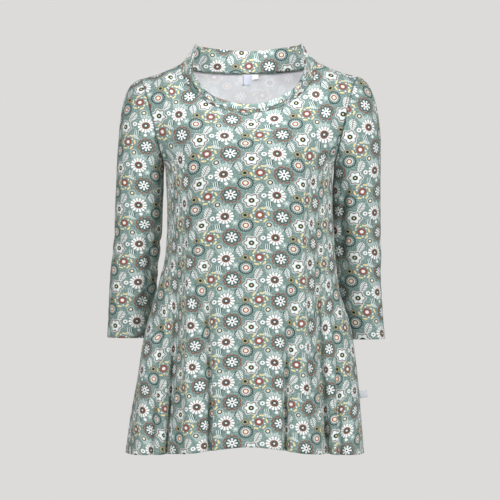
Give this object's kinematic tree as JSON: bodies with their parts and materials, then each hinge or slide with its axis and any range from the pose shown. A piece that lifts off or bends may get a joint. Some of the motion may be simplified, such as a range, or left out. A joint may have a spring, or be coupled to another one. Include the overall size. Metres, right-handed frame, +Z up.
{
  "type": "a-line tunic top",
  "caption": "A-line jersey tunic with a soft stand collar, set-in three-quarter sleeves and a flared, curved hem, filled out with no wearer.",
  "frame": {"origin": "base of the neck, midway between the shoulders", "axes": "+Z up through the neck opening, front towards -Y, the wearer's left towards +X"},
  "size_m": [0.5241, 0.2958, 0.7642],
  "materials": {
    "jersey": "matt jersey, printed on its outer face, pale on its reverse",
    "ribbon": "smooth satin ribbon, bare"
  },
  "bodies": {
    "root": {"front": "jersey", "back": "jersey", "sleeve_left": "jersey", "sleeve_right": "jersey", "collar": "jersey", "neck_label": "ribbon", "size_tag": "ribbon", "side_label": "ribbon"}
  },
  "joints": []
}
